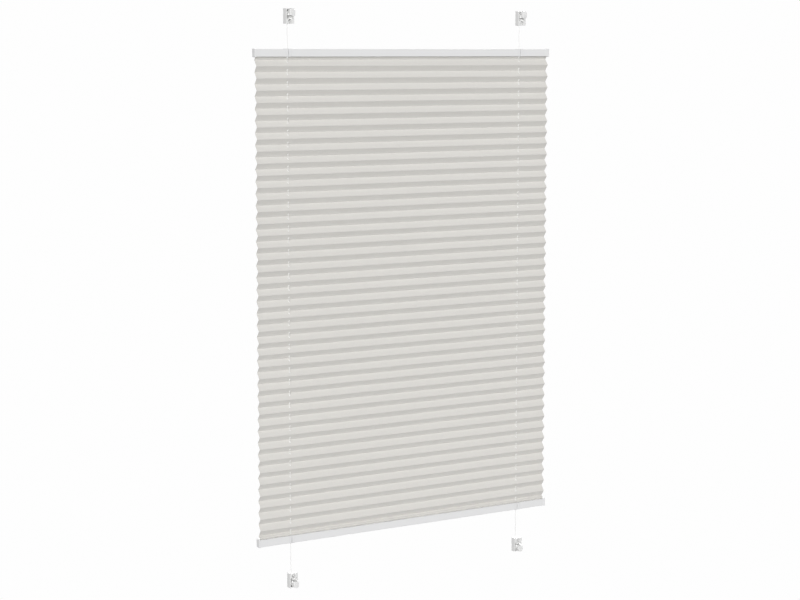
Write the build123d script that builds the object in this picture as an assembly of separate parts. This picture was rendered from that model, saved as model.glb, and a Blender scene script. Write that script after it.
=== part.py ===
"""Pleated blind that runs on two taut cords between four screwed-on tension shoes.

Frame: millimetres, X along the rails, Y from the room (-) to the window (+), Z up.
The origin is the centre of the four screw holes, on the plane that the shoes are screwed to.
"""
from build123d import *
import math
import os

# ---- overall sizes -------------------------------------------------------------------
rail_length = 700.0        # over the two end caps
drop = 1000.0              # top of the top rail to underside of the bottom rail
cord_spacing = 552.0       # between the two cords
gap_above = 50.0           # top rail to the top shoes
gap_below = 65.0           # bottom rail to the bottom shoes

# ---- rails ---------------------------------------------------------------------------
rail_height = 15.0
rail_depth = 12.0
rail_wall = 1.0
rail_edge_r = 0.5
rail_web = 0.8             # between the rail's two chambers
strip_chamber = 2.6        # height of the chamber that holds the fabric strip
strip_lip = 1.0            # thickness of the two lips that the strip lies on
fabric_slot = 3.0          # between the lips, where the fabric leaves
cap_flange = 3.0           # cap thickness that shows at the rail's end
cap_rise = 1.0             # how far the cap stands above and below the rail
cap_proud = 0.3            # how far it stands in front of and behind the rail
cap_plug = 9.0             # how far the cap reaches into the rail
cap_edge_r = 0.9
cap_end_r = 0.6

# ---- cords and what turns them inside the rails -----------------------------------------
cord_d = 1.0
cord_y = -7.5              # the cords' plane, in front of the screwing plane
cord_hole_d = 2.2          # in the guides and the shoes
cord_pass_d = 3.0          # in the rails' web and lips, and the fabric strips
cross_cord_offset = 1.2    # the crossing stretches lie this far in front of and behind the cords
cross_cord_room = 1.25     # above and below the crossing stretches, in the rail's chamber
pin_end_gap = 0.9          # turn pin's end to the rail's wall

# ---- cord guides -------------------------------------------------------------------------
guide_width = 12.0
guide_lip = 0.8            # stands on the rail's outer face
guide_lip_reach = 1.0      # the lip's overlap on the rail, each side
guide_slit = 1.2           # slit that the cord is threaded through
guide_cord_room = 0.7      # beside the crossing stretches, in the guide

# ---- fabric ----------------------------------------------------------------------------------
fabric_forward = 1.1       # fabric's middle plane, in front of the cords
pleat_count = 40
pleat_depth = 9.0
first_valley = 6.4         # first back fold below the top rail, and the last above the bottom rail
fabric_thickness = 0.4
fabric_hole_d = 2.6
fabric_side_gap = 0.3      # cap flange to fabric edge
strip_thickness = 2.2

# ---- tension shoes -----------------------------------------------------------------------------
shoe_width = 18.5
shoe_height = 30.0
shoe_depth = 12.0
shoe_back = 2.5            # plate against the frame
shoe_wall = 2.2            # left and far walls
shoe_block = 9.6           # height of the solid end towards the blind
shoe_edge_r = 0.8
cord_from_edge = 4.8       # cord to the shoe's left side
channel_width = 5.6        # open channel that the cord lies in
screw_hole_d = 4.2
screw_head_d = 7.6
screw_head_floor = 5.0     # material under the screw's head
screw_from_end = 5.2       # screw to the end towards the blind
right_wall = 1.6
right_wall_end = 15.0      # the right wall stops here, counted from the end towards the blind

# ---- cord clamps and beads -------------------------------------------------------------------------
clamp_start = 16.0         # from the end towards the blind
clamp_proud = 4.5          # stands in front of the housing
clamp_r = 4.2
clamp_edge_r = 0.7
nose_height = 4.0
nose_reach = 1.5           # the nose covers the cord this far to its front and back
grip_ribs = 3
grip_rib = 0.5             # height of a rib
grip_rib_width = 1.0
grip_rib_inset = 2.0       # rib's ends to the clamp's sides
bead_d = 4.4
bead_gap = 0.3             # bead to clamp nose

# ---- clearances --------------------------------------------------------------------------------------
fit_gap = 0.15             # pushed-in plastic parts
cord_gap = 0.05            # cord to the pin it turns on
slide_gap = 0.2            # clamp in its pocket
glue_gap = 0.1             # fabric to its strip, strip to rail
past = 1.0                 # cuts and joints run this far past their faces

# ---- places worked out from the sizes ------------------------------------------------------------------
screw_offset = shoe_width / 2 - cord_from_edge          # screw to the right of its cord
blind_x = -screw_offset                                 # middle of the blind
fabric_y = cord_y - fabric_forward
fabric_reach = rail_length / 2 - cap_flange - fabric_side_gap
top_z = (drop + gap_below - gap_above) / 2              # top of the top rail
bottom_z = top_z - drop                                 # underside of the bottom rail
top_rail_under = top_z - rail_height
bottom_rail_top = bottom_z + rail_height
web_low = strip_lip + strip_chamber                     # web between the rail's two chambers
web_high = web_low + rail_web
chamber_y = (cord_y - rail_depth / 2 + rail_wall, cord_y + rail_depth / 2 - rail_wall)
chamber_top = rail_height - rail_wall
cord_r = cord_d / 2
turn_pin_d = chamber_top - web_high - 2 * (cross_cord_room + cord_d + cord_gap)
pin_z = (web_high + chamber_top) / 2                    # turn pin's height in the rail
guide_cavity = cord_d + 2 * (cross_cord_offset + guide_cord_room)
bead_height = clamp_start + nose_height + bead_gap + bead_d / 2
turn_r = turn_pin_d / 2 + cord_r + cord_gap             # cord's middle line round a turn pin
side_names = {"left": -1, "right": 1}

os.makedirs("parts", exist_ok=True)


def save(shape, node):
    """Writes one node."""
    export_step(shape, f"parts/{node}.step")


def block(x, y, z):
    """Box from three (low, high) pairs."""
    size = [high - low for low, high in (x, y, z)]
    middle = [(high + low) / 2 for low, high in (x, y, z)]
    return Pos(*middle) * Box(*size)


def upright(radius, x, y, z):
    """Round bar along Z between two heights."""
    return Pos(x, y, (z[0] + z[1]) / 2) * Cylinder(radius, z[1] - z[0])


def crosswise(radius, x, y, z):
    """Round bar along Y between two depths."""
    return Pos(x, (y[0] + y[1]) / 2, z) * Rot(90, 0, 0) * Cylinder(radius, y[1] - y[0])


def cord_x(side):
    return blind_x + side * cord_spacing / 2


# ---- one rail, in its own heights: 0 is the fabric's side, rail_height the outer side --------------------

def rail_profile():
    """Two-chamber extrusion over the length between the caps."""
    half = rail_length / 2 - cap_flange
    outline = RectangleRounded(rail_depth, rail_height, rail_edge_r)
    outline = Pos(cord_y, rail_height / 2) * outline
    upper = Pos(cord_y, (web_high + chamber_top) / 2) * Rectangle(
        chamber_y[1] - chamber_y[0], chamber_top - web_high)
    lower = Pos(cord_y, strip_lip + strip_chamber / 2) * Rectangle(
        chamber_y[1] - chamber_y[0], strip_chamber)
    slot = Pos(fabric_y, strip_lip / 2) * Rectangle(fabric_slot, strip_lip + past)
    section = outline - upper - lower - slot
    on_yz = Plane(origin=(-half, 0, 0), x_dir=(0, 1, 0), z_dir=(1, 0, 0))
    return extrude(on_yz * section, 2 * half)


def guide_window(side):
    """Notch through the rail's front wall and outer wall that a cord guide fills."""
    x = side * cord_spacing / 2
    reach = guide_width / 2 + fit_gap
    front = cord_y - rail_depth / 2
    across = (x - reach, x + reach)
    notch = block(across, (front - past, front + rail_wall), (-past, rail_height + past))
    notch += block(across, (front - past, chamber_y[1]), (chamber_top, rail_height + past))
    return notch + upright(cord_pass_d / 2, x, cord_y, (-past, web_high + past))


def rail():
    body = rail_profile()
    for side in side_names.values():
        body -= guide_window(side)
    return body


def guide(side):
    """Moulded block in the rail that the cord runs down through; its lip lies on the rail."""
    x = side * cord_spacing / 2
    inward = -side
    front = cord_y - rail_depth / 2
    half = guide_width / 2
    back = chamber_y[1] - fit_gap
    body = block((x - half, x + half), (front, back), (web_high + fit_gap, rail_height))
    body += block((x - half, x + half), (front, front + rail_wall - fit_gap), (0, web_high + fit_gap))
    lip = half + guide_lip_reach
    body += block((x - lip, x + lip), (front + rail_wall, back), (rail_height, rail_height + guide_lip))
    cavity_x = sorted((x - inward * cord_hole_d / 2, x + inward * (half + past)))
    cavity_z = (pin_z - turn_r - cord_r - fit_gap, pin_z + turn_r + cord_r + fit_gap)
    body -= block(cavity_x, (cord_y - guide_cavity / 2, cord_y + guide_cavity / 2), cavity_z)
    through = (-past, rail_height + guide_lip + past)
    body -= upright(cord_hole_d / 2, x, cord_y, through)
    body -= block((x - guide_slit / 2, x + guide_slit / 2), (front - past, cord_y), through)
    return body - crosswise(turn_pin_d / 2, *pin_place(side))


def pin_place(side):
    """Position of a turn pin: its X, its two ends in Y and its height."""
    x = side * (cord_spacing / 2 - turn_r)
    return x, (chamber_y[0] + pin_end_gap, chamber_y[1] - pin_end_gap), pin_z


def cross_cord(side):
    """Stretch of cord that crosses the rail from under one turn pin to over the other."""
    reach = cord_spacing / 2 - turn_r
    tilt = math.degrees(math.asin(turn_r / reach))
    sweep_angle = 90 + tilt
    first = CenterArc((-reach, pin_z), turn_r, 180, sweep_angle)
    last = CenterArc((reach, pin_z), turn_r, 90 + tilt, -sweep_angle)
    run = Line(first @ 1, last @ 0)
    y = cord_y + side * cross_cord_offset
    facing = Plane(origin=(0, y, 0), x_dir=(1, 0, 0), z_dir=(0, -1, 0))
    path = facing * (Wire([first, run, last]))
    start = path.location_at(0).position
    body = sweep(Plane(origin=start, z_dir=(0, 0, -1)) * Circle(cord_r), path)
    if side < 0:
        return body
    return mirror(body, Plane.YZ)


def fabric_strip():
    """Flat strip in the fabric's chamber; the fabric's end is glued to it."""
    half = rail_length / 2 - cap_flange - cap_plug - fit_gap
    z = (strip_lip + glue_gap, strip_lip + glue_gap + strip_thickness)
    body = block((-half, half), (chamber_y[0] + fit_gap, chamber_y[1] - fit_gap), z)
    for side in side_names.values():
        body -= upright(cord_pass_d / 2, side * cord_spacing / 2, cord_y, (0, rail_height))
    return body


def end_cap(side):
    """Cap whose flange covers the rail's end, with a plug in each chamber."""
    inner = rail_length / 2 - cap_flange
    across = rail_depth + 2 * cap_proud
    up = rail_height + 2 * cap_rise
    flange = Pos((inner + rail_length / 2) / 2, cord_y, rail_height / 2) * Box(cap_flange, across, up)
    flange = fillet(flange.edges().filter_by(Axis.X), cap_edge_r)
    flange = fillet(flange.faces().sort_by(Axis.X)[-1].edges(), cap_end_r)
    plug_x = (inner - cap_plug, inner)
    plug_y = (chamber_y[0] + fit_gap, chamber_y[1] - fit_gap)
    body = flange + block(plug_x, plug_y, (web_high + fit_gap, chamber_top - fit_gap))
    body += block(plug_x, plug_y, (strip_lip + fit_gap, web_low - fit_gap))
    if side > 0:
        return body
    return mirror(body, Plane.YZ)


def place_in_rail(shape, rail_name):
    """Puts a rail's piece at its height; the bottom rail is the top one turned over."""
    if rail_name == "top":
        return Pos(blind_x, 0, top_rail_under) * shape
    turned = mirror(shape, Plane.XY)
    return Pos(blind_x, 0, bottom_rail_top) * turned


def write_rail(rail_name):
    prefix = f"{rail_name}_rail"
    save(place_in_rail(rail(), rail_name), prefix)
    save(place_in_rail(fabric_strip(), rail_name), f"{prefix}_fabric_strip")
    for side_name, side in side_names.items():
        pin = crosswise(turn_pin_d / 2, *pin_place(side))
        save(place_in_rail(end_cap(side), rail_name), f"{prefix}_{side_name}_cap")
        save(place_in_rail(guide(side), rail_name), f"{prefix}_{side_name}_guide")
        save(place_in_rail(pin, rail_name), f"{prefix}_{side_name}_turn_pin")
        save(place_in_rail(cross_cord(side), rail_name), f"{prefix}_{side_name}_cross_cord")


# ---- fabric ---------------------------------------------------------------------------------------------

def fabric():
    """Pleated sheet from one rail's strip to the other's, punched for the two cords."""
    first = top_rail_under - first_valley
    last = bottom_rail_top + first_valley
    pitch = (first - last) / pleat_count
    line = [(0, top_rail_under + strip_lip), (0, top_rail_under)]
    for pleat in range(pleat_count):
        line.append((pleat_depth / 2, first - pleat * pitch))
        line.append((-pleat_depth / 2, first - (pleat + 0.5) * pitch))
    line.append((pleat_depth / 2, last))
    line += [(0, bottom_rail_top), (0, bottom_rail_top - strip_lip)]
    slope = math.atan2(pleat_depth, pitch / 2)
    half = fabric_thickness / 2 / math.cos(slope)
    room_side = [(fabric_y + y - half, z) for y, z in line]
    window_side = [(fabric_y + y + half, z) for y, z in reversed(line)]
    on_yz = Plane(origin=(blind_x - fabric_reach, 0, 0), x_dir=(0, 1, 0), z_dir=(1, 0, 0))
    outline = make_face(Polyline(*room_side, *window_side, close=True))
    sheet = extrude(on_yz * outline, 2 * fabric_reach)
    for side in side_names.values():
        sheet -= upright(fabric_hole_d / 2, cord_x(side), cord_y, (bottom_z, top_z))
    return sheet


# ---- one shoe, in its own place: X from its left side, Z from the end towards the blind ---------------------

def shoe_housing():
    """Moulded tray with a solid end for the screw and the cord's way in."""
    body = block((0, shoe_width), (-shoe_depth, 0), (0, shoe_height))
    body = fillet(body.edges().filter_by(Axis.Y), shoe_edge_r)
    tray_z = (shoe_block, shoe_height - shoe_wall)
    tray_y = (-shoe_depth - past, -shoe_back)
    body -= block((shoe_wall, shoe_width - right_wall), tray_y, tray_z)
    body -= block((clamp_left(), shoe_width + past), tray_y, (right_wall_end, shoe_height + past))
    body -= upright(cord_hole_d / 2, cord_from_edge, cord_y, (-past, shoe_block + past))
    screw_x = shoe_width / 2
    body -= crosswise(screw_hole_d / 2, screw_x, (-shoe_depth - past, past), screw_from_end)
    body -= crosswise(screw_head_d / 2, screw_x, (-shoe_depth - past, -screw_head_floor), screw_from_end)
    return body


def clamp_left():
    """Left side of the clamp's pocket."""
    return cord_from_edge - channel_width / 2 + channel_width


def clamp():
    """Push-in clamp: a round-ended head, and a nose that pins the cord to the channel."""
    left = clamp_left() + slide_gap
    back = -shoe_back - slide_gap
    front = -shoe_depth - clamp_proud
    head = block((left, shoe_width), (front, back), (clamp_start, shoe_height))
    round_edges = head.edges().filter_by(Axis.Y).group_by(Axis.Z)[-1]
    head = fillet(round_edges, clamp_r)
    head = fillet(head.faces().sort_by(Axis.Y)[0].edges(), clamp_edge_r)
    nose = (cord_from_edge + cord_r + cord_gap, left + past)
    head += block(nose, (cord_y - nose_reach, cord_y + nose_reach), (clamp_start, clamp_start + nose_height))
    pitch = (shoe_height - clamp_start) / (grip_ribs + 1)
    for rib in range(grip_ribs):
        z = clamp_start + (rib + 1) * pitch
        head += block((left + grip_rib_inset, shoe_width - grip_rib_inset),
                      (front - grip_rib, front + past), (z - grip_rib_width / 2, z + grip_rib_width / 2))
    return head


def bead():
    """Bead that the cord ends in, past the clamp's nose."""
    return Pos(cord_from_edge, cord_y, bead_height) * Sphere(bead_d / 2)


def place_shoe(shape, end_name, side):
    """Puts a shoe's piece on its cord, past the rail's end of the blind."""
    x = cord_x(side) - cord_from_edge
    if end_name == "top":
        return Pos(x, 0, top_z + gap_above) * shape
    return Pos(x, 0, bottom_z - gap_below) * mirror(shape, Plane.XY)


def write_shoes():
    for end_name in ("top", "bottom"):
        for side_name, side in side_names.items():
            prefix = f"{end_name}_{side_name}"
            save(place_shoe(shoe_housing(), end_name, side), f"{prefix}_shoe")
            save(place_shoe(clamp(), end_name, side), f"{prefix}_cord_clamp")
            save(place_shoe(bead(), end_name, side), f"{prefix}_cord_bead")


def write_cords():
    """The two straight cord lines, from bead to bead."""
    reach = bead_height - bead_d / 2
    for side_name, side in side_names.items():
        z = (bottom_z - gap_below - reach, top_z + gap_above + reach)
        save(upright(cord_r, cord_x(side), cord_y, z), f"{side_name}_cord")


write_rail("top")
write_rail("bottom")
save(fabric(), "pleated_fabric")
write_shoes()
write_cords()
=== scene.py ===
"""Pleated blind on two taut cords: finishes, the pleated cloth, light and camera.

Metres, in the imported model's frame: X along the rails, Y towards the window, Z up.
"""
import math

import bpy
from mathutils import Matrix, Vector


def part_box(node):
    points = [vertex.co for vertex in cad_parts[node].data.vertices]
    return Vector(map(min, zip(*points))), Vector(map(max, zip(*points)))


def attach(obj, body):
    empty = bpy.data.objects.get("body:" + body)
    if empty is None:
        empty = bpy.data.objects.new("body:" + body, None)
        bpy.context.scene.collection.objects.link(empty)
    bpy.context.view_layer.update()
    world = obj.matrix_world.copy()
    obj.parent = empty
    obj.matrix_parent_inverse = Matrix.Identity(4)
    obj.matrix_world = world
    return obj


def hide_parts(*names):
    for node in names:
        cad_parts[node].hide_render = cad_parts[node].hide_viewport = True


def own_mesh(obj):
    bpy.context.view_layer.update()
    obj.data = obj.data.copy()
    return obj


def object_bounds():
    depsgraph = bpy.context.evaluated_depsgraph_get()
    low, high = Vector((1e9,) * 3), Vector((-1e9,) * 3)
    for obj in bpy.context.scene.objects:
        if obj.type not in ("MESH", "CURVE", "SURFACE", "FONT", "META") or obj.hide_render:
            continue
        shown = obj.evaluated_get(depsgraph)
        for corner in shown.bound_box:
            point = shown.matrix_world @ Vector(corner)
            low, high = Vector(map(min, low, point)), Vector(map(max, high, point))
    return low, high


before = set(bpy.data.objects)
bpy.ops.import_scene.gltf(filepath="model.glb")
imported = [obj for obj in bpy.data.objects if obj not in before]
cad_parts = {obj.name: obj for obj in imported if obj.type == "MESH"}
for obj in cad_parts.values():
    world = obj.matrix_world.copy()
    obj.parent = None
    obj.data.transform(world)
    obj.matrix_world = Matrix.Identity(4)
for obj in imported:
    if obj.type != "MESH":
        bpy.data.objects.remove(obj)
cad_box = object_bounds()
MM = 0.001

# ---- sizes shared with the construction ----------------------------------------------------------
PLEATS = 40
FIRST_FOLD = 6.4 * MM          # first back fold below the top rail, last one above the bottom rail
CLOTH_THICK = 0.3 * MM
FOLD_RADIUS = 0.55 * MM
HOLE_RADIUS = 1.3 * MM
CLOTH_BULK = 0.5 * MM          # what the sheet's thickness adds to the depth of its folds
LAST_BEND_UP = 2.8 * MM        # small forward bend of the cloth's end, above the bottom rail
LAST_BEND_OUT = 1.4 * MM

# ---- colours -------------------------------------------------------------------------------------
RAIL_TINT = (0.755, 0.755, 0.758)
CAP_TINT = (0.745, 0.745, 0.75)
STRIP_TINT = (0.75, 0.75, 0.735)
SHOE_TINT = (0.755, 0.755, 0.75)
CLAMP_TINT = (0.775, 0.775, 0.77)
BEAD_TINT = (0.84, 0.84, 0.83)
CORD_TINT = (0.86, 0.86, 0.845)
STEEL_TINT = (0.56, 0.56, 0.57)
CLOTH_TINT = (0.674, 0.661, 0.632)
DUST_TINT = (0.62, 0.6, 0.56)
DUST_AMOUNT = 0.08

# ---- cloth and cord threads ----------------------------------------------------------------------
THREAD_PITCH = 0.42 * MM
SLUB_STRETCH = (55.0, 2400.0, 1.0)         # long in the weft's direction, per metre
CROSS_SLUB_STRETCH = (2400.0, 90.0, 1.0)
YARN_RELIEF = 0.06 * MM
STRAND_RELIEF = 0.06 * MM

# ---- studio light and camera ---------------------------------------------------------------------
SURROUND = 0.29
KEY = 3.0
KEY_TOWARD = (-38, 12)         # azimuth and elevation in degrees
BACK_FILL = 2.0
BACK_FILL_TOWARD = (142, 14)
LIGHT_SPREAD = 25              # degrees across
NEAR_WHITE = 0.99
FLOOR_SIZE = 60.0
FLOOR_DROP = 0.35              # floor below the lowest point of the blind
LENS_MM = 83.2
SENSOR_MM = 36.0
LENS_SHIFT = -0.04
CAMERA_LEFT = 1.944            # from the middle of the top rail
CAMERA_BACK = 3.293
CAMERA_UNDER_RAIL_TOP = 6.0 * MM
CAMERA_YAW = 30.33
CAMERA_DIP = 6.66


# ---- small helpers for node trees ----------------------------------------------------------------

class Tree:
    """Thin wrapper that adds nodes and wires them by name."""

    def __init__(self, nodes_owner):
        self.tree = nodes_owner

    def add(self, kind, inputs=None, **settings):
        node = self.tree.nodes.new(kind)
        for key, value in settings.items():
            setattr(node, key, value)
        for key, value in (inputs or {}).items():
            self.feed(node.inputs[key], value)
        return node

    def feed(self, socket, value):
        if isinstance(value, bpy.types.NodeSocket):
            self.tree.links.new(value, socket)
        elif isinstance(value, bpy.types.Node):
            self.tree.links.new(value.outputs[0], socket)
        else:
            socket.default_value = value

    def math(self, operation, *values):
        return self.add("ShaderNodeMath", dict(enumerate(values)), operation=operation).outputs[0]


def group_tree(name, kind, inputs, outputs):
    """Node group with named sockets: inputs are (name, type, value), outputs (name, type)."""
    tree = bpy.data.node_groups.new(name, kind)
    for label, socket_type, value in inputs:
        socket = tree.interface.new_socket(label, in_out="INPUT", socket_type=socket_type)
        if value is not None:
            socket.default_value = value
    for label, socket_type in outputs:
        tree.interface.new_socket(label, in_out="OUTPUT", socket_type=socket_type)
    build = Tree(tree)
    return build, build.add("NodeGroupInput"), build.add("NodeGroupOutput")


# ---- shared surface effects ----------------------------------------------------------------------

def make_grain():
    """Fine moulded or sprayed skin: a height, and small drifts of tone and gloss."""
    build, given, out = group_tree(
        "surface_grain", "ShaderNodeTree",
        [("Grain Size", "NodeSocketFloat", 0.4), ("Colour", "NodeSocketColor", (0.8, 0.8, 0.8, 1)),
         ("Drift", "NodeSocketFloat", 0.04), ("Roughness", "NodeSocketFloat", 0.5)],
        [("Colour", "NodeSocketColor"), ("Roughness", "NodeSocketFloat"), ("Height", "NodeSocketFloat")])
    place = build.add("ShaderNodeTexCoord").outputs["Object"]
    per_metre = build.math("DIVIDE", 1000.0, given.outputs["Grain Size"])
    fine = build.add("ShaderNodeTexNoise", {"Vector": place, "Scale": per_metre, "Detail": 3.0,
                                            "Roughness": 0.6})
    broad = build.add("ShaderNodeTexNoise", {"Vector": place, "Scale": 22.0, "Detail": 4.0,
                                             "Roughness": 0.55})
    centred = build.math("SUBTRACT", broad.outputs["Fac"], 0.5)
    tone = build.math("MULTIPLY_ADD", centred, given.outputs["Drift"], 1.0)
    tinted = build.add("ShaderNodeVectorMath", {0: given.outputs["Colour"]}, operation="SCALE")
    build.feed(tinted.inputs["Scale"], tone)
    gloss = build.math("MULTIPLY_ADD", centred, 0.25, given.outputs["Roughness"])
    build.feed(out.inputs["Colour"], tinted.outputs[0])
    build.feed(out.inputs["Roughness"], gloss)
    build.feed(out.inputs["Height"], fine.outputs["Fac"])
    return build.tree


def make_settled_dust():
    """Mask of the faint dust that lies on surfaces that look up."""
    build, given, out = group_tree(
        "settled_dust", "ShaderNodeTree", [("Amount", "NodeSocketFloat", 0.1)],
        [("Mask", "NodeSocketFloat")])
    normal = build.add("ShaderNodeNewGeometry").outputs["Normal"]
    up = build.add("ShaderNodeSeparateXYZ", {0: normal}).outputs["Z"]
    looks_up = build.add("ShaderNodeMapRange", {"Value": up, "From Min": 0.35, "From Max": 0.95},
                         interpolation_type="SMOOTHSTEP").outputs[0]
    place = build.add("ShaderNodeTexCoord").outputs["Object"]
    specks = build.add("ShaderNodeTexNoise", {"Vector": place, "Scale": 900.0, "Detail": 4.0})
    share = build.add("ShaderNodeMapRange", {"Value": specks.outputs["Fac"], "From Min": 0.42,
                                             "From Max": 0.7}).outputs[0]
    build.feed(out.inputs["Mask"],
               build.math("MULTIPLY", build.math("MULTIPLY", looks_up, share), given.outputs["Amount"]))
    return build.tree


GRAIN = make_grain()
DUST = make_settled_dust()


def coated(name, colour, roughness, grain_size, relief, drift=0.04):
    """Sprayed or moulded finish with grain (in mm), tone drift and a breath of dust."""
    material = bpy.data.materials.new(name)
    material.use_nodes = True
    build = Tree(material.node_tree)
    surface = material.node_tree.nodes["Principled BSDF"]
    grain = build.add("ShaderNodeGroup", node_tree=GRAIN)
    grain.inputs["Grain Size"].default_value = grain_size
    grain.inputs["Colour"].default_value = (*colour, 1)
    grain.inputs["Drift"].default_value = drift
    grain.inputs["Roughness"].default_value = roughness
    specks = build.add("ShaderNodeGroup", node_tree=DUST)
    specks.inputs["Amount"].default_value = DUST_AMOUNT
    shade = build.add("ShaderNodeMix", data_type="RGBA")
    build.feed(shade.inputs["Factor"], specks.outputs["Mask"])
    build.feed(shade.inputs["A"], grain.outputs["Colour"])
    shade.inputs["B"].default_value = (*DUST_TINT, 1)
    bump = build.add("ShaderNodeBump", {"Height": grain.outputs["Height"], "Strength": 0.6,
                                        "Distance": relief * MM})
    build.feed(surface.inputs["Base Color"], shade.outputs["Result"])
    build.feed(surface.inputs["Roughness"], grain.outputs["Roughness"])
    build.feed(surface.inputs["Normal"], bump.outputs[0])
    return material


def make_braid():
    """Two sets of crossing strands round a thin cord: a height, and a painted shade that darkens the
    grooves between strands.
    """
    build, given, out = group_tree(
        "cord_braid", "ShaderNodeTree",
        [("Strand Pitch", "NodeSocketFloat", 0.6), ("Along", "NodeSocketVector", (0, 0, 1)),
         ("Across", "NodeSocketVector", (1, 1, 0))],
        [("Height", "NodeSocketFloat"), ("Shade", "NodeSocketFloat")])
    place = build.add("ShaderNodeTexCoord").outputs["Object"]
    turns = build.math("DIVIDE", 2 * math.pi * 1000, given.outputs["Strand Pitch"])
    dots = {}
    for label in ("Along", "Across"):
        dot = build.add("ShaderNodeVectorMath", {0: place, 1: given.outputs[label]},
                        operation="DOT_PRODUCT")
        dots[label] = build.math("MULTIPLY", dot.outputs["Value"], turns)
    waves = []
    for sign in (1, -1):
        slant = build.math("MULTIPLY_ADD", dots["Across"], float(sign), dots["Along"])
        waves.append(build.math("SINE", slant))
    height = build.math("MAXIMUM", *waves)
    build.feed(out.inputs["Height"], height)
    # painted shade: the cord's colour is up to 14 % darker in the grooves between strands
    build.feed(out.inputs["Shade"], build.math("MULTIPLY_ADD", height, 0.07, 0.93))
    return build.tree


BRAID = make_braid()


def braided(name, along, across):
    """White braided cord that runs in the given direction."""
    material = bpy.data.materials.new(name)
    material.use_nodes = True
    build = Tree(material.node_tree)
    surface = material.node_tree.nodes["Principled BSDF"]
    braid = build.add("ShaderNodeGroup", node_tree=BRAID)
    braid.inputs["Along"].default_value = along
    braid.inputs["Across"].default_value = across
    # the cord's white is scaled by the braid's painted groove shade
    tint = build.add("ShaderNodeVectorMath", {0: CORD_TINT}, operation="SCALE")
    build.feed(tint.inputs["Scale"], braid.outputs["Shade"])
    bump = build.add("ShaderNodeBump", {"Height": braid.outputs["Height"], "Strength": 0.7,
                                        "Distance": STRAND_RELIEF})
    build.feed(surface.inputs["Base Color"], tint.outputs[0])
    build.feed(surface.inputs["Normal"], bump.outputs[0])
    surface.inputs["Roughness"].default_value = 0.62
    surface.inputs["Sheen Weight"].default_value = 0.15
    return material


def brushed_pin():
    """Ground steel with fine rings round the pin."""
    material = bpy.data.materials.new("ground_steel")
    material.use_nodes = True
    build = Tree(material.node_tree)
    surface = material.node_tree.nodes["Principled BSDF"]
    place = build.add("ShaderNodeTexCoord").outputs["Object"]
    rings = build.add("ShaderNodeMapping", {"Vector": place, "Scale": (40.0, 9000.0, 40.0)})
    lines = build.add("ShaderNodeTexNoise", {"Vector": rings, "Scale": 1.0, "Detail": 3.0})
    bump = build.add("ShaderNodeBump", {"Height": lines.outputs["Fac"], "Strength": 0.4,
                                        "Distance": 0.02 * MM})
    gloss = build.add("ShaderNodeMapRange", {"Value": lines.outputs["Fac"], "To Min": 0.22,
                                             "To Max": 0.4})
    surface.inputs["Base Color"].default_value = (*STEEL_TINT, 1)
    surface.inputs["Metallic"].default_value = 1.0
    build.feed(surface.inputs["Roughness"], gloss.outputs[0])
    build.feed(surface.inputs["Normal"], bump.outputs[0])
    return material


def woven_cloth():
    """Off-white plain weave, read from the cloth's own flat map in metres."""
    material = bpy.data.materials.new("pleat_weave")
    material.use_nodes = True
    build = Tree(material.node_tree)
    surface = material.node_tree.nodes["Principled BSDF"]
    flat = build.add("ShaderNodeUVMap", uv_map="flat").outputs[0]
    both = build.add("ShaderNodeSeparateXYZ", {0: flat})
    thread = 2 * math.pi / THREAD_PITCH
    weft = build.math("SINE", build.math("MULTIPLY", both.outputs["Y"], thread))
    warp = build.math("SINE", build.math("MULTIPLY", both.outputs["X"], thread))
    weave = build.math("MULTIPLY", weft, warp)
    slub_map = build.add("ShaderNodeMapping", {"Vector": flat, "Scale": SLUB_STRETCH})
    slubs = build.add("ShaderNodeTexNoise", {"Vector": slub_map, "Scale": 1.0, "Detail": 2.0})
    cross_map = build.add("ShaderNodeMapping", {"Vector": flat, "Scale": CROSS_SLUB_STRETCH})
    cross_slubs = build.add("ShaderNodeTexNoise", {"Vector": cross_map, "Scale": 1.0, "Detail": 2.0})
    yarns = build.math("ADD", slubs.outputs["Fac"], cross_slubs.outputs["Fac"])
    height = build.math("MULTIPLY_ADD", weave, 0.35, yarns)
    patches = build.add("ShaderNodeTexNoise", {"Vector": flat, "Scale": 3.0, "Detail": 3.0})
    tone = build.math("MULTIPLY_ADD", build.math("SUBTRACT", yarns, 1.0), 0.10, 1.0)
    # painted shade: the weave's hollows between threads are a little darker, and its crossings a little
    # lighter
    tone = build.math("MULTIPLY_ADD", weave, 0.012, tone)
    tone = build.math("MULTIPLY_ADD", build.math("SUBTRACT", patches.outputs["Fac"], 0.5), 0.03, tone)
    tinted = build.add("ShaderNodeVectorMath", {0: CLOTH_TINT}, operation="SCALE")
    build.feed(tinted.inputs["Scale"], tone)
    bump = build.add("ShaderNodeBump", {"Height": height, "Strength": 0.5, "Distance": YARN_RELIEF})
    build.feed(surface.inputs["Base Color"], tinted.outputs[0])
    build.feed(surface.inputs["Normal"], bump.outputs[0])
    surface.inputs["Roughness"].default_value = 0.85
    surface.inputs["Specular IOR Level"].default_value = 0.25
    surface.inputs["Sheen Weight"].default_value = 0.12
    surface.inputs["Sheen Roughness"].default_value = 0.5
    return material


# ---- the pleated cloth ---------------------------------------------------------------------------

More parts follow.
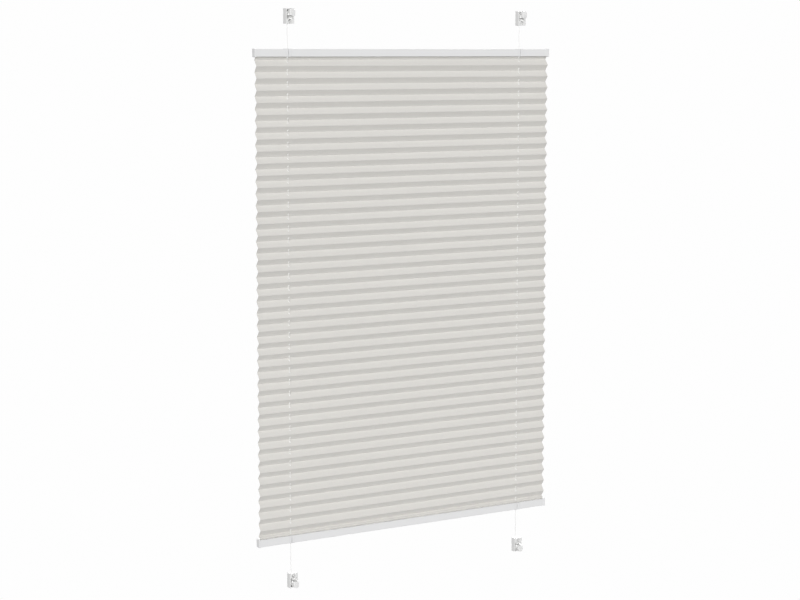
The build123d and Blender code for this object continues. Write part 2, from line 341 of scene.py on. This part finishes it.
def make_pleat_tree():
    """Sheet folded in a zigzag down Z, with rounded folds, end tabs and two rows of punched holes.

    The points of its edge line, counted from the top: the tab's end, the upper lip, 2 x Pleats + 1
    folds that start with a back fold, the small last bend, the lower lip and the lower tab's end.
    """
    length = "NodeSocketFloat"
    build, given, out = group_tree(
        "pleated_sheet", "GeometryNodeTree",
        [("Width", length, 0.7), ("Thickness", length, 0.0003), ("Pleats", "NodeSocketInt", 40),
         ("Fold Depth", length, 0.009), ("Fold Radius", length, 0.0005), ("Centre X", length, 0.0),
         ("Middle Y", length, 0.0), ("Tab Top", length, 0.5), ("Upper Lip", length, 0.5),
         ("First Fold", length, 0.49), ("Last Fold", length, -0.49), ("Last Bend", length, -0.497),
         ("Bend Out", length, 0.001), ("Lower Lip", length, -0.5), ("Tab Bottom", length, -0.5),
         ("Hole Radius", length, 0.002), ("Hole Y", length, 0.0),
         ("Hole Left X", length, -0.3), ("Hole Right X", length, 0.3),
         ("Cloth", "NodeSocketMaterial", None)],
        [("Geometry", "NodeSocketGeometry")])
    g = given.outputs
    folds = build.math("MULTIPLY", g["Pleats"], 2.0)
    count = build.math("ADD", folds, 6.0)
    index = build.add("GeometryNodeInputIndex").outputs[0]
    fold = build.math("SUBTRACT", index, 2.0)
    half_pitch = build.math("DIVIDE", build.math("SUBTRACT", g["First Fold"], g["Last Fold"]), folds)
    fold_z = build.math("SUBTRACT", g["First Fold"], build.math("MULTIPLY", fold, half_pitch))
    parity = build.math("COSINE", build.math("MULTIPLY", fold, math.pi))
    fold_y = build.math("MULTIPLY", parity, build.math("MULTIPLY", g["Fold Depth"], 0.5))

    def pick(test, yes, no):
        return build.add("GeometryNodeSwitch", {"Switch": test, "True": yes, "False": no},
                         input_type="FLOAT").outputs[0]

    def less(a, b):
        return build.math("LESS_THAN", a, b)

    upper = pick(less(index, 0.5), g["Tab Top"], g["Upper Lip"])
    from_end = build.math("SUBTRACT", count, index)
    is_bend = less(2.5, from_end)
    lower = pick(less(from_end, 1.5), g["Tab Bottom"], pick(is_bend, g["Last Bend"], g["Lower Lip"]))
    is_upper = less(index, 1.5)
    is_lower = less(from_end, 3.5)
    z = pick(is_upper, upper, pick(is_lower, lower, fold_z))
    end_y = pick(is_bend, build.math("MULTIPLY", g["Bend Out"], -1.0), 0.0)
    off = pick(is_upper, 0.0, pick(is_lower, end_y, fold_y))
    y = build.math("ADD", off, g["Middle Y"])
    spot = build.add("ShaderNodeCombineXYZ", {0: g["Centre X"], 1: y, 2: z})
    points = build.add("GeometryNodeMeshLine", {"Count": count})
    placed = build.add("GeometryNodeSetPosition", {"Geometry": points, "Position": spot})
    path = build.add("GeometryNodeMeshToCurve", {"Mesh": placed})
    rounded = build.add("GeometryNodeFilletCurve", {"Curve": path, "Count": 6,
                                                    "Radius": g["Fold Radius"]}, mode="POLY")
    band = build.add("GeometryNodeCurvePrimitiveQuadrilateral", {"Width": g["Width"],
                                                                 "Height": g["Thickness"]})
    sheet = build.add("GeometryNodeCurveToMesh", {"Curve": rounded, "Profile Curve": band,
                                                  "Fill Caps": True})
    span = build.math("SUBTRACT", g["Tab Top"], g["Tab Bottom"])
    middle_z = build.math("MULTIPLY", build.math("ADD", g["Tab Top"], g["Tab Bottom"]), 0.5)
    punch = build.add("GeometryNodeMeshCylinder", {"Vertices": 20, "Radius": g["Hole Radius"],
                                                   "Depth": build.math("MULTIPLY", span, 1.1)})
    punches = build.add("GeometryNodeJoinGeometry")
    for side in ("Left", "Right"):
        at = build.add("ShaderNodeCombineXYZ", {0: g[f"Hole {side} X"], 1: g["Hole Y"], 2: middle_z})
        moved = build.add("GeometryNodeTransform", {"Geometry": punch.outputs["Mesh"],
                                                    "Translation": at})
        build.tree.links.new(moved.outputs[0], punches.inputs[0])
    punched = build.add("GeometryNodeMeshBoolean", {"Mesh 1": sheet, "Mesh 2": punches},
                        operation="DIFFERENCE", solver="EXACT")
    crisp = build.add("GeometryNodeSetShadeSmooth", {"Geometry": punched.outputs[0],
                                                     "Shade Smooth": False})
    solid = build.add("GeometryNodeRealizeInstances", {"Geometry": crisp})
    finished = build.add("GeometryNodeSetMaterial", {"Geometry": solid, "Material": g["Cloth"]})
    build.feed(out.inputs[0], finished.outputs[0])
    return build.tree


def grown(name, tree, values):
    """Plain mesh object made by a geometry tree with the given inputs."""
    host = bpy.data.objects.new(name + "_seed", bpy.data.meshes.new(name + "_seed"))
    bpy.context.collection.objects.link(host)
    modifier = host.modifiers.new("build", "NODES")
    modifier.node_group = tree
    for item in tree.interface.items_tree:
        if item.item_type == "SOCKET" and item.in_out == "INPUT" and item.name in values:
            modifier[item.identifier] = values[item.name]
    depsgraph = bpy.context.evaluated_depsgraph_get()
    mesh = bpy.data.meshes.new_from_object(host.evaluated_get(depsgraph))
    bpy.data.objects.remove(host)
    piece = bpy.data.objects.new(name, mesh)
    bpy.context.collection.objects.link(piece)
    return piece


def map_cloth(piece, top, slope_share):
    """Flat map of the cloth in metres: across the width, and down along the folded faces."""
    layer = piece.data.uv_layers.new(name="flat")
    places = [vertex.co for vertex in piece.data.vertices]
    for loop in piece.data.loops:
        co = places[loop.vertex_index]
        layer.data[loop.index].uv = (co.x, (top - co.z) / slope_share)


def hang_cloth():
    """Replaces the construction's cloth and rides on the top rail."""
    low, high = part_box("pleated_fabric")
    upper_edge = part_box("top_rail")[0].z
    lower_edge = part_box("bottom_rail")[1].z
    depth = high.y - low.y - CLOTH_BULK
    first, last = upper_edge - FIRST_FOLD, lower_edge + FIRST_FOLD
    cords = {side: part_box(f"{side}_cord") for side in ("left", "right")}
    cord_x = {side: (lo.x + hi.x) / 2 for side, (lo, hi) in cords.items()}
    cord_y = (cords["left"][0].y + cords["left"][1].y) / 2
    cloth = grown("pleated_cloth", make_pleat_tree(), {
        "Width": high.x - low.x, "Thickness": CLOTH_THICK, "Pleats": PLEATS, "Fold Depth": depth,
        "Fold Radius": FOLD_RADIUS, "Centre X": (low.x + high.x) / 2, "Middle Y": (low.y + high.y) / 2,
        "Tab Top": high.z, "Upper Lip": upper_edge, "First Fold": first,
        "Last Fold": last, "Last Bend": lower_edge + LAST_BEND_UP, "Bend Out": LAST_BEND_OUT,
        "Lower Lip": lower_edge, "Tab Bottom": low.z, "Hole Radius": HOLE_RADIUS,
        "Hole Y": cord_y, "Hole Left X": cord_x["left"], "Hole Right X": cord_x["right"],
        "Cloth": woven_cloth()})
    half_pitch = (first - last) / (2 * PLEATS)
    face = math.hypot(half_pitch, depth)
    map_cloth(cloth, high.z, half_pitch / face)
    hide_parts("pleated_fabric")
    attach(cloth, "top_rail")
    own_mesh(cloth)
    return cloth


# ---- finishes of the construction's own pieces ---------------------------------------------------

def dress(node, material):
    """Gives a construction piece its finish."""
    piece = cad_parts[node]
    piece.data.materials.clear()
    piece.data.materials.append(material)


def dress_pieces():
    """Finishes of every piece but the cloth."""
    rail = coated("powder_coat", RAIL_TINT, 0.42, 0.7, 0.05, drift=0.03)
    cap = coated("cap_plastic", CAP_TINT, 0.5, 0.25, 0.05)
    guide = coated("guide_plastic", CAP_TINT, 0.45, 0.25, 0.04)
    strip = coated("strip_plastic", STRIP_TINT, 0.5, 0.3, 0.04)
    shoe = coated("shoe_plastic", SHOE_TINT, 0.4, 0.22, 0.05)
    clamp = coated("clamp_plastic", CLAMP_TINT, 0.36, 0.22, 0.04)
    bead = coated("bead_plastic", BEAD_TINT, 0.3, 0.4, 0.02)
    upright_cord = braided("upright_cord_braid", (0, 0, 1), (1, 1, 0))
    cross_cord = braided("cross_cord_braid", (1, 0, 0), (0, 1, 1))
    pin = brushed_pin()
    for end in ("top", "bottom"):
        dress(f"{end}_rail", rail)
        dress(f"{end}_rail_fabric_strip", strip)
        for side in ("left", "right"):
            dress(f"{end}_rail_{side}_cap", cap)
            dress(f"{end}_rail_{side}_guide", guide)
            dress(f"{end}_rail_{side}_turn_pin", pin)
            dress(f"{end}_rail_{side}_cross_cord", cross_cord)
            dress(f"{end}_{side}_shoe", shoe)
            dress(f"{end}_{side}_cord_clamp", clamp)
            dress(f"{end}_{side}_cord_bead", bead)
    for side in ("left", "right"):
        dress(f"{side}_cord", upright_cord)


# ---- studio --------------------------------------------------------------------------------------

def make_floor(height):
    """Plain pale floor that takes no part in the light on the blind."""
    bpy.ops.mesh.primitive_plane_add(size=FLOOR_SIZE, location=(0, 0, height))
    floor = bpy.context.object
    floor.name = "studio_floor"
    material = bpy.data.materials.new("pale_floor")
    material.use_nodes = True
    nodes = material.node_tree.nodes
    nodes.remove(nodes["Principled BSDF"])
    glow = nodes.new("ShaderNodeEmission")
    glow.inputs["Color"].default_value = (NEAR_WHITE, NEAR_WHITE, NEAR_WHITE, 1)
    material.node_tree.links.new(glow.outputs[0], nodes["Material Output"].inputs["Surface"])
    floor.data.materials.append(material)
    floor.visible_diffuse = False
    floor.visible_glossy = False
    floor.visible_shadow = False


def make_surround():
    """Even white light from all round; the camera sees plain near-white."""
    world = bpy.data.worlds.new("studio")
    bpy.context.scene.world = world
    world.use_nodes = True
    build = Tree(world.node_tree)
    world.node_tree.nodes.clear()
    shades = {}
    for use, strength, grey in (("light", SURROUND, 1.0), ("seen", 1.0, NEAR_WHITE)):
        shades[use] = build.add("ShaderNodeBackground", {"Strength": strength})
        shades[use].inputs["Color"].default_value = (grey, grey, grey, 1)
    from_camera = build.add("ShaderNodeLightPath").outputs["Is Camera Ray"]
    mix = build.add("ShaderNodeMixShader", {0: from_camera, 1: shades["light"], 2: shades["seen"]})
    output = build.add("ShaderNodeOutputWorld")
    build.feed(output.inputs["Surface"], mix)


def broad_light(name, azimuth, elevation, strength):
    """Large far soft light; azimuth in degrees from the room side towards the right."""
    data = bpy.data.lights.new(name, "SUN")
    data.energy = strength
    data.angle = math.radians(LIGHT_SPREAD)
    light = bpy.data.objects.new(name, data)
    a, e = math.radians(azimuth), math.radians(elevation)
    toward = Vector((math.sin(a) * math.cos(e), -math.cos(a) * math.cos(e), math.sin(e)))
    light.rotation_euler = (-toward).to_track_quat("-Z", "Y").to_euler()
    bpy.context.collection.objects.link(light)


def make_camera():
    """Eye level with the top rail, from the left, tipped down to the blind's middle."""
    rail_low, rail_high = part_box("top_rail")
    middle = (rail_low + rail_high) / 2
    data = bpy.data.cameras.new("camera")
    data.lens = LENS_MM
    data.sensor_width = SENSOR_MM
    data.shift_y = LENS_SHIFT
    camera = bpy.data.objects.new("camera", data)
    bpy.context.collection.objects.link(camera)
    camera.location = (middle.x - CAMERA_LEFT, middle.y - CAMERA_BACK,
                       rail_high.z - CAMERA_UNDER_RAIL_TOP)
    yaw, dip = math.radians(CAMERA_YAW), math.radians(CAMERA_DIP)
    ahead = Vector((math.sin(yaw) * math.cos(dip), math.cos(yaw) * math.cos(dip), -math.sin(dip)))
    camera.rotation_euler = ahead.to_track_quat("-Z", "Y").to_euler()
    bpy.context.scene.camera = camera


bpy.context.scene.view_settings.view_transform = "Standard"
make_camera()
make_surround()
broad_light("key", *KEY_TOWARD, KEY)
broad_light("window_side_fill", *BACK_FILL_TOWARD, BACK_FILL)
make_floor(cad_box[0].z - FLOOR_DROP)
dress_pieces()
hang_cloth()
